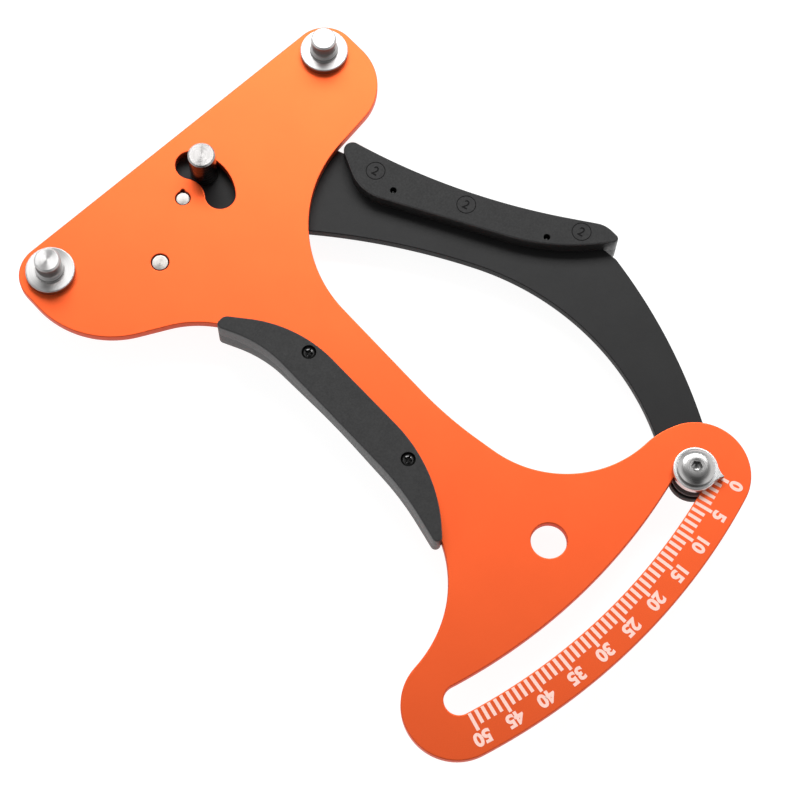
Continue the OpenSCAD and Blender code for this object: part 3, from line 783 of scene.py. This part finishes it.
cut(nut, hexa)
place(nut, "arm", "pointer_nut")

# ------------------------------------------------------------------ floor, light and camera
UP = Vector((0.68163, 0.73169, 0))                      # the picture's up and right, along the floor
RIGHT = Vector((0.73169, -0.68163, 0))
FRONT = -UP

me = bpy.data.meshes.new("studio_floor")
me.from_pydata([(-6, -6, 0), (6, -6, 0), (6, 6, 0), (-6, 6, 0)], [], [(0, 1, 2, 3)])
floor = bpy.data.objects.new("studio_floor", me)
scene.collection.objects.link(floor)
fm = bpy.data.materials.new("floor_white")
fm.use_nodes = True
t = fm.node_tree
t.nodes.clear()
out = t.nodes.new("ShaderNodeOutputMaterial")
lp = t.nodes.new("ShaderNodeLightPath")
dif = node(t, "ShaderNodeBsdfDiffuse", Color=(0.82, 0.82, 0.82, 1))
glow = node(t, "ShaderNodeEmission", Color=(1, 1, 1, 1), Strength=0.5)
lit = t.nodes.new("ShaderNodeAddShader")
t.links.new(dif.outputs[0], lit.inputs[0])
t.links.new(glow.outputs[0], lit.inputs[1])
em = node(t, "ShaderNodeEmission", Color=(1, 1, 1, 1), Strength=0.93)
pale = node(t, "ShaderNodeBsdfDiffuse", Color=(0.2, 0.2, 0.2, 1))
add = t.nodes.new("ShaderNodeAddShader")
mix = t.nodes.new("ShaderNodeMixShader")
t.links.new(em.outputs[0], add.inputs[0])
t.links.new(pale.outputs[0], add.inputs[1])
t.links.new(lp.outputs["Is Camera Ray"], mix.inputs["Fac"])
t.links.new(lit.outputs[0], mix.inputs[1])
t.links.new(add.outputs[0], mix.inputs[2])
t.links.new(mix.outputs[0], out.inputs["Surface"])
floor.data.materials.append(fm)

# a white room, with a dark gap in front where the camera stands
world = bpy.data.worlds.new("studio_room")
scene.world = world
world.use_nodes = True
t = world.node_tree
bg = t.nodes["Background"]
co = t.nodes.new("ShaderNodeTexCoord").outputs["Generated"]


def dot(tree, vec, d):
    n = node(tree, "ShaderNodeVectorMath")
    n.operation = "DOT_PRODUCT"
    tree.links.new(vec, n.inputs[0])
    n.inputs[1].default_value = tuple(d)
    return n.outputs["Value"]


def smooth(tree, value, a, b, lo=0.0, hi=1.0):
    m = node(tree, "ShaderNodeMapRange", From_Min=a, From_Max=b, To_Min=lo, To_Max=hi)
    m.interpolation_type = "SMOOTHSTEP"
    tree.links.new(value, m.inputs["Value"])
    return m.outputs["Result"]


def math(tree, op, a, b):
    n = node(tree, "ShaderNodeMath")
    n.operation = op
    for k, v in enumerate((a, b)):
        if isinstance(v, (int, float)):
            n.inputs[k].default_value = v
        else:
            tree.links.new(v, n.inputs[k])
    return n.outputs["Value"]


side = math(t, "ABSOLUTE", math(t, "SUBTRACT", dot(t, co, RIGHT), 0.10), 0.0)
gap_w = smooth(t, side, 0.24, 0.44, 1.0, 0.0)
gap_f = smooth(t, dot(t, co, FRONT), -0.05, 0.22)
height = dot(t, co, (0, 0, 1))
gap = math(t, "MULTIPLY", math(t, "MULTIPLY", gap_w, gap_f), smooth(t, height, 0.26, 0.40))
level = math(t, "SUBTRACT", 1.0, math(t, "MULTIPLY", gap, 0.92))
flank = smooth(t, math(t, "ABSOLUTE", dot(t, co, RIGHT), 0.0), 0.44, 0.66)      # two white cards, left and right
cards = math(t, "MULTIPLY", math(t, "MULTIPLY", flank, smooth(t, height, 0.75, 0.55)), 0.95)
cards = math(t, "MAXIMUM", cards, math(t, "MULTIPLY", smooth(t, height, 0.34, 0.24), 0.40))
t.links.new(math(t, "ADD", math(t, "MULTIPLY", level, 0.31), cards), bg.inputs["Strength"])
bg.inputs["Color"].default_value = (1, 1, 1, 1)


def softbox(name, direction, distance, size, power, target=(0, 0, 0.01)):
    li = bpy.data.lights.new(name, "AREA")
    li.shape = "RECTANGLE"
    li.size, li.size_y = size
    li.energy = power
    o = bpy.data.objects.new(name, li)
    scene.collection.objects.link(o)
    d = Vector(direction).normalized()
    o.location = Vector(target) + d * distance
    o.rotation_mode = "QUATERNION"
    o.rotation_quaternion = (-d).to_track_quat("-Z", "Y")
    return o


softbox("softbox_key", UP * 0.95 + RIGHT * 0.04 + Vector((0, 0, 1.0)), 0.95, (0.95, 0.40), 10.5)

# the camera of the photograph: looks down at the tool from the picture's lower side
F_PX, AX, AY, KPX = 2160.0, -20.64, 1.10, 3.3
PX, PY, CX, CY, TURN = 182.83, 198.12, 410.68, 382.19, 42.968
R = Matrix.Rotation(radians(AX), 3, "X") @ Matrix.Rotation(radians(AY), 3, "Y") @ Matrix.Rotation(radians(TURN), 3, "Z")
dist = F_PX / KPX
tr = Vector(((PX - CX) / F_PX * dist, -(PY - CY) / F_PX * dist, -dist))
view = R.to_4x4()
view.translation = (tr - R @ OFF) * 0.001
cam = bpy.data.objects.new("camera", bpy.data.cameras.new("camera"))
scene.collection.objects.link(cam)
cam.matrix_world = view.inverted()
cam.data.sensor_width = 36.0
cam.data.lens = F_PX / 800 * 36
cam.data.shift_x = -(CX - 400) / 800
cam.data.shift_y = (CY - 400) / 800
cam.data.clip_start, cam.data.clip_end = 0.05, 50
scene.camera = cam
scene.view_settings.view_transform = "Standard"
scene.view_settings.look = "None"
scene.view_settings.exposure = 0.0
